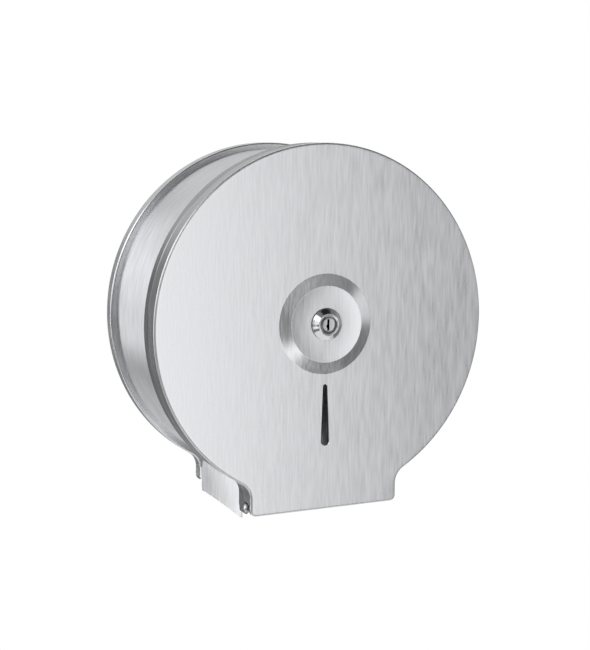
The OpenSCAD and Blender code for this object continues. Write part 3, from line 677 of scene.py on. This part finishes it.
lock = dict(seat=120.5, bezelRadius=12.25, bezelHeight=4.0, lipRadius=8.3, boreRadius=7.46,
            barrelRadius=9.5, barrelFlats=16.6, barrelBack=106.4, innerBore=6.36, pitch=1.0,
            threadDepth=0.35, plugRadius=7.4, plugDepth=124.0, dish=0.9, plugBack=103.5, stemRadius=6.3,
            keyWidth=1.8, keyHeight=8.6, keyDepth=9.0, drive=7.0, driveBack=101.6, steps=96)


def makeBarrel(k):
    # a turned bezel, and behind it a threaded barrel whose radius is the thread's wave, cut off by
    # two flats where they are nearer to the axis
    s, top = k["seat"], k["seat"] + k["bezelHeight"]
    rows, steps, back = 90, k["steps"], k["barrelBack"]
    depth = np.linspace(back, s, rows)[:, None]
    angle = fullTurn(steps)
    wave = k["barrelRadius"] - k["threadDepth"] * (0.5 + 0.5 * np.cos(
        2 * math.pi * depth / k["pitch"] - angle))
    flat = k["barrelFlats"] / 2 / np.maximum(np.abs(np.cos(angle)), 1e-3)
    radius = np.minimum(wave, flat)
    threaded = toWorld(radius * np.cos(angle), radius * np.sin(angle), depth)
    # the bezel from its seat over the flat cone to the lip, and down the stepped bore
    bezel = np.array([
        [k["bezelRadius"] - 0.3, s], [k["bezelRadius"], s + 0.25], [k["bezelRadius"], s + 0.55],
        [k["bezelRadius"] - 0.15, s + 0.85], [k["bezelRadius"] - 0.55, s + 1.1],
        [k["bezelRadius"] - 1.3, s + 1.7], [k["bezelRadius"] - 2.1, s + 2.45],
        [k["lipRadius"] + 0.75, top - 0.75], [k["lipRadius"] + 0.35, top - 0.25],
        [k["lipRadius"] + 0.05, top - 0.04], [k["lipRadius"] - 0.2, top],
        [k["boreRadius"] + 0.25, top], [k["boreRadius"] + 0.06, top - 0.08],
        [k["boreRadius"], top - 0.3], [k["boreRadius"], top - 3.2], [k["innerBore"], top - 3.2],
        [k["innerBore"], back]])
    shell = Shell()
    shell.grid(np.concatenate([threaded, turned(bezel, steps)]), rows + len(bezel), steps,
               closedRows=True, closedColumns=True)
    return finishPiece(shell.build("lockBezel"), "cover", [metals["lockChrome"]],
                       replaces=["lock_barrel"], sharpAngle=40)


def keyOutline(k):
    # a stepped keyway: a tall bar with a short side ward
    w, h = k["keyWidth"] / 2, k["keyHeight"] / 2
    corners = [(w, -h), (w, h), (-w, h), (-w, 0), (-w - 0.7, 0), (-w - 0.7, -h / 2), (-w, -h / 2),
               (-w, -h)]
    return np.array(corners)


def makePlug(k):
    # the plug turns in the barrel: a dished face with the keyway, a stem and the square drive. The
    # marks name zones of the finish and painted shade: 0 chrome, 1 keyway in painted shade, 2 recess in
    # painted shade, 3 satin middle
    face, steps = k["plugDepth"], k["steps"]
    profile = np.array([
        [4.6, face - k["dish"]], [5.6, face - k["dish"] * 0.92], [6.3, face - k["dish"] * 0.55],
        [6.8, face - 0.12], [7.1, face], [k["plugRadius"] - 0.08, face - 0.02],
        [k["plugRadius"], face - 0.15], [k["plugRadius"], face - 2.6], [k["stemRadius"], face - 2.6],
        [k["stemRadius"], k["plugBack"] + 0.3], [k["stemRadius"] - 0.3, k["plugBack"]], [5.0, k["plugBack"]]])
    shell = Shell()
    marks = np.zeros((len(profile) - 1, steps), int)
    marks[:3] = 2
    disc = shell.grid(turned(profile, steps), len(profile), steps, mark=marks.reshape(-1),
                      closedColumns=True)
    outline = keyOutline(k)
    levels = np.array([[face - k["dish"]], [face - k["keyDepth"]]])
    key = shell.grid(toWorld(outline[None, :, 0], outline[None, :, 1], levels), 2, len(outline), mark=1,
                     closedColumns=True)
    shell.fill(disc[0], key[0], mark=3)
    shell.fill(key[1], mark=1)
    half = k["drive"] / 2
    square = np.array([(half, -half), (half, half), (-half, half), (-half, -half)])
    drive = shell.grid(toWorld(square[None, :, 0], square[None, :, 1],
                               np.array([[k["plugBack"]], [k["driveBack"]]])), 2, 4, closedColumns=True)
    shell.fill(disc[-1], drive[0])
    shell.fill(drive[1])
    zones = ("lockChrome", "keyway", "plugRecessShade", "plugFace")
    return finishPiece(shell.build("lockPlugTurned"), "lock_core",
                       [metals[zone] for zone in zones], replaces=["lock_plug"], sharpAngle=40)


makeBarrel(lock)
makePlug(lock)
print("lock made")


# Hinge rivets

rivet = dict(headX=61.1, headRadius=3.2, headHeight=1.3, shankRadius=2.0, tailX=58.1, tailRadius=3.2,
             tailHeight=1.0, depth=rim["lugDepth"], height=rim["lugHeight"], steps=48)


def makeRivet(r, side):
    # domed head, shank and flattened tail, as a profile turned round the rivet's own axis
    bow = np.radians(np.linspace(90, 8, 9))
    dome = np.stack([r["headRadius"] * np.cos(bow), r["headX"] + r["headHeight"] * np.sin(bow)], -1)
    profile = np.concatenate([
        dome, [[r["headRadius"], r["headX"]], [r["shankRadius"], r["headX"]],
               [r["shankRadius"], r["tailX"]], [r["tailRadius"], r["tailX"]],
               [r["tailRadius"], r["tailX"] - 0.5], [r["tailRadius"] - 0.5, r["tailX"] - 0.9],
               [0.0, r["tailX"] - r["tailHeight"]]]])
    angle = fullTurn(r["steps"])
    x = np.broadcast_to(profile[:, 1:] * side, (len(profile), r["steps"]))
    shell = Shell()
    shell.grid(toWorld(x, r["height"] + profile[:, :1] * np.sin(angle),
                       r["depth"] + profile[:, :1] * np.cos(angle)), len(profile), r["steps"],
               closedColumns=True)
    name = "right" if side > 0 else "left"
    return finishPiece(shell.build(name + "RivetTurned"), "cover",
                       [metals["fastenerSteel"]], replaces=[name + "_hinge_rivet"], sharpAngle=45)


for side in (-1, 1):
    makeRivet(rivet, side)
print("hinge rivets made")


# Core sleeve

sleeve = dict(bore=22.56, radius=25.96, back=7.8, front=103.2, collar=34.0, collarHeight=2.0,
              ribs=12, groove=0.7, steps=288)


def makeSleeve(s):
    # a turned sleeve with shallow grooves along it: the radius dips by a smooth wave of the angle
    angle = fullTurn(s["steps"])
    wave = 0.5 - 0.5 * np.cos(s["ribs"] * angle)
    dip = s["groove"] * np.clip(wave * 1.6 - 0.3, 0, 1) ** 2
    ends = [(s["bore"], s["back"], 0), (s["collar"] - 0.4, s["back"], 0), (s["collar"], s["back"] + 0.4, 0),
            (s["collar"], s["back"] + s["collarHeight"] - 0.4, 0),
            (s["collar"] - 0.4, s["back"] + s["collarHeight"], 0),
            (s["radius"] + 1.0, s["back"] + s["collarHeight"], 0),
            (s["radius"] + 0.3, s["back"] + s["collarHeight"] + 0.1, 0),
            (s["radius"], s["back"] + s["collarHeight"] + 0.6, 0),
            (s["radius"], s["back"] + s["collarHeight"] + 4, 0),
            (s["radius"], s["back"] + s["collarHeight"] + 6, 1),
            (s["radius"], s["front"] - 8, 1), (s["radius"], s["front"] - 6, 0),
            (s["radius"], s["front"] - 1.2, 0), (s["radius"] - 1.2, s["front"], 0),
            (s["bore"] + 0.4, s["front"], 0), (s["bore"], s["front"] - 0.4, 0)]
    table = np.array(ends, float)
    radius = table[:, :1] - table[:, 2:] * dip
    shell = Shell()
    shell.grid(toWorld(radius * np.cos(angle), radius * np.sin(angle), table[:, 1:2]), len(table),
               s["steps"], closedRows=True, closedColumns=True)
    return finishPiece(shell.build("ribbedSleeve"), "sleeve", [sleevePlastic],
                       replaces=["core_sleeve"])


makeSleeve(sleeve)
print("core sleeve made")


# CAD nodes that keep their shape

keptNodes = {
    "spindle_base": ("body", "spindle_steel", "panFace", 0.15),
    "spindle_tube": ("body", "spindle_steel", "spindleSteel", 0.0),
    "spindle_end_plate": ("body", "spindle_steel", "panFace", 0.15),
    "base_rivets": ("body", "rivet_steel", "fastenerSteel", 0.0),
    "left_hinge_bracket": ("cover", "bracket_steel", "plateSteel", 0.12),
    "right_hinge_bracket": ("cover", "bracket_steel", "plateSteel", 0.12),
    "left_hinge_washer": ("cover", "washer_plastic", None, 0.08),
    "right_hinge_washer": ("cover", "washer_plastic", None, 0.08),
    "lock_washer": ("cover", "lock_steel", "lockZinc", 0.1),
    "lock_nut": ("cover", "lock_steel", "lockZinc", 0.25),
    "lock_cam": ("lock_core", "lock_steel", "lockZinc", 0.15),
    "cam_washer": ("lock_core", "lock_steel", "lockZinc", 0.08),
    "cam_screw": ("lock_core", "lock_steel", "lockZinc", 0.12),
}


def dressNode(node, body, slot, look, bevel):
    # a copy of the CAD mesh with its doubles merged and its flat facets joined, so that the round
    # faces shade smoothly and the edges take a small bevel
    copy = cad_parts[node].data.copy()
    bm = bmesh.new()
    bm.from_mesh(copy)
    bmesh.ops.remove_doubles(bm, verts=bm.verts, dist=1e-6)
    bmesh.ops.dissolve_limit(bm, angle_limit=math.radians(0.5), verts=bm.verts, edges=bm.edges)
    bmesh.ops.recalc_face_normals(bm, faces=bm.faces)
    bm.to_mesh(copy)
    bm.free()
    name = "".join(word.capitalize() for word in node.split("_"))
    piece = bpy.data.objects.new("dressed" + name, copy)
    material = metals[look] if look else washerPlastic
    return finishPiece(piece, body, [material], replaces=[node], bevel=bevel)


for node, settings in keptNodes.items():
    dressNode(node, *settings)
print("kept nodes dressed")


# Floor, light and camera

studio = dict(floorHeight=-0.62, floorSize=1.2, floorGlow=0.75, mirroredFloor=0.42, roomLevel=0.2,
              cameraPlace=(-0.4364, -1.0351, 0.1362), cameraTarget=(0.0279, 0.0, -0.0168), lens=75.6)
# each soft box: compass angle from the front towards the right, height angle, width, height, softness
# of its edges (all in degrees) and how much brighter than the room it is. The flags are dark cards
softBoxes = {
    "tallFront": (16.0, -8.0, 13.0, 36.0, 6.0, 1.8),
    "tallFrontEdge": (7.0, -8.0, 10.0, 36.0, 6.0, 0.4),
    "lowFront": (-2.0, -27.0, 16.0, 14.0, 6.0, 1.05),
    "frontHigh": (25.0, 24.0, 40.0, 18.0, 6.0, 0.14),
    "rightCard": (54.0, 2.0, 12.0, 20.0, 4.0, 1.1),
    "leftRoof": (-85.0, 36.0, 74.0, 24.0, 6.0, 1.75),
    "leftFill": (-62.0, 4.0, 22.0, 60.0, 4.0, 0.85),
    "leftStrip": (-100.0, 9.0, 22.0, 20.0, 6.0, 1.6),
    "behindLeft": (-127.0, 9.0, 28.0, 24.0, 6.0, 1.75),
    "behindLow": (-135.0, -12.0, 14.0, 16.0, 5.0, 3.9),
    "behindMiddle": (180.0, 4.0, 16.0, 16.0, 6.0, 0.6),
    "behindRoof": (172.0, 22.0, 50.0, 22.0, 8.0, 0.4),
    "behindHigh": (172.0, 52.0, 60.0, 28.0, 8.0, 1.3),
    "backdrop": (156.0, -8.0, 36.0, 36.0, 6.0, 0.12),
    "lowLeft": (-105.0, -47.0, 50.0, 30.0, 8.0, 0.95),
    "rightFill": (95.0, 0.0, 40.0, 50.0, 8.0, 0.2),
    "roofFlag": (40.0, 68.0, 50.0, 24.0, 5.0, -0.18),
    "leftFlag": (-66.0, -8.0, 22.0, 12.0, 2.0, -1.0),
}


def makeFloor(s):
    # a pale matt floor that also glows for the camera and for mirror rays, so that it shows white
    # and still keeps the object's shadow
    half = s["floorSize"] / 2
    mesh = bpy.data.meshes.new("floor")
    mesh.from_pydata([(-half, -half, s["floorHeight"]), (half, -half, s["floorHeight"]),
                      (half, half, s["floorHeight"]), (-half, half, s["floorHeight"])], [], [(0, 1, 2, 3)])
    floor = bpy.data.objects.new("floor", mesh)
    bpy.context.scene.collection.objects.link(floor)
    material, t, shader = newMaterial("paleFloor")
    shader.inputs["Base Color"].default_value = (0.9, 0.9, 0.9, 1)
    shader.inputs["Roughness"].default_value = 0.9
    path = addNode(t, "ShaderNodeLightPath")
    seen = addNode(t, "ShaderNodeMath", {0: path.outputs["Is Glossy Ray"], 1: s["mirroredFloor"],
                                         2: path.outputs["Is Camera Ray"]}, operation="MULTIPLY_ADD")
    glow = addNode(t, "ShaderNodeMath", {0: seen.outputs[0], 1: s["floorGlow"]}, operation="MULTIPLY")
    t.links.new(glow.outputs[0], shader.inputs["Emission Strength"])
    shader.inputs["Emission Color"].default_value = (1, 1, 1, 1)
    mesh.materials.append(material)


def softBoxGroup():
    # brightness of a soft box for a direction: how far the direction lies sideways and upwards from
    # the box's middle, as sines, each compared with half the box's size over a soft edge
    group, start, end = newGroup(
        "softBox",
        [("Direction", "NodeSocketVector", None), ("Facing", "NodeSocketVector", (0, -1, 0)),
         ("Half Width", "NodeSocketFloat", 0.2), ("Half Height", "NodeSocketFloat", 0.2),
         ("Softness", "NodeSocketFloat", 0.1), ("Strength", "NodeSocketFloat", 1.0),
         ("Rest", "NodeSocketFloat", 0.0)], [("Sum", "NodeSocketFloat")])
    t = group
    way, facing = start.outputs["Direction"], start.outputs["Facing"]
    side = addNode(t, "ShaderNodeVectorMath", {0: (0, 0, 1), 1: facing}, operation="CROSS_PRODUCT")
    level = addNode(t, "ShaderNodeVectorMath", {0: side.outputs[0]}, operation="NORMALIZE")
    upright = addNode(t, "ShaderNodeVectorMath", {0: facing, 1: level.outputs[0]}, operation="CROSS_PRODUCT")
    masks = []
    for axis, half in ((level, "Half Width"), (upright, "Half Height")):
        off = addNode(t, "ShaderNodeVectorMath", {0: way, 1: axis.outputs[0]}, operation="DOT_PRODUCT")
        away = addNode(t, "ShaderNodeMath", {0: off.outputs["Value"]}, operation="ABSOLUTE")
        low = addNode(t, "ShaderNodeMath", {0: start.outputs[half], 1: start.outputs["Softness"]},
                      operation="SUBTRACT")
        high = addNode(t, "ShaderNodeMath", {0: start.outputs[half], 1: start.outputs["Softness"]},
                       operation="ADD")
        mask = addNode(t, "ShaderNodeMapRange", {"Value": away.outputs[0], "From Min": high.outputs[0],
                                                 "From Max": low.outputs[0]}, interpolation_type="SMOOTHSTEP")
        masks.append(mask.outputs[0])
    front = addNode(t, "ShaderNodeVectorMath", {0: way, 1: facing}, operation="DOT_PRODUCT")
    ahead = addNode(t, "ShaderNodeMath", {0: front.outputs["Value"], 1: 0.0}, operation="GREATER_THAN")
    both = addNode(t, "ShaderNodeMath", {0: masks[0], 1: masks[1]}, operation="MULTIPLY")
    shown = addNode(t, "ShaderNodeMath", {0: both.outputs[0], 1: ahead.outputs[0]}, operation="MULTIPLY")
    total = addNode(t, "ShaderNodeMath", {0: shown.outputs[0], 1: start.outputs["Strength"],
                                          2: start.outputs["Rest"]}, operation="MULTIPLY_ADD")
    t.links.new(total.outputs[0], end.inputs[0])
    return group


def makeWorld(s, boxes):
    # a grey room with soft boxes in it, summed one after another; the camera itself sees plain
    # white behind the object
    world = bpy.data.worlds.new("studio")
    bpy.context.scene.world = world
    world.use_nodes = True
    t = world.node_tree
    background = t.nodes["Background"]
    way = addNode(t, "ShaderNodeTexCoord").outputs["Generated"]
    group = softBoxGroup()
    level = s["roomLevel"]
    for name, (compass, height, wide, tall, soft, strength) in boxes.items():
        c, h = math.radians(compass), math.radians(height)
        box = addNode(t, "ShaderNodeGroup", {
            "Direction": way,
            "Facing": (math.sin(c) * math.cos(h), -math.cos(c) * math.cos(h), math.sin(h)),
            "Half Width": math.sin(math.radians(wide / 2)),
            "Half Height": math.sin(math.radians(tall / 2)),
            "Softness": math.sin(math.radians(soft)),
            "Strength": strength,
            "Rest": level}, node_tree=group, name=name, label=name)
        level = box.outputs[0]
    path = addNode(t, "ShaderNodeLightPath")
    white = addNode(t, "ShaderNodeMix", {0: path.outputs["Is Camera Ray"], 2: level, 3: 1.0})
    t.links.new(white.outputs[0], background.inputs["Strength"])
    background.inputs["Color"].default_value = (1, 1, 1, 1)


def makeCamera(s):
    camera = bpy.data.objects.new("camera", bpy.data.cameras.new("camera"))
    camera.location = s["cameraPlace"]
    aim = Vector(s["cameraTarget"]) - Vector(s["cameraPlace"])
    camera.rotation_euler = aim.to_track_quat("-Z", "Y").to_euler()
    camera.data.lens = s["lens"]
    camera.data.sensor_width = 36.0
    camera.data.clip_start = 0.05
    bpy.context.scene.collection.objects.link(camera)
    bpy.context.scene.camera = camera


makeFloor(studio)
makeWorld(studio, softBoxes)
makeCamera(studio)
bpy.context.scene.view_settings.view_transform = "Standard"
print("studio made")
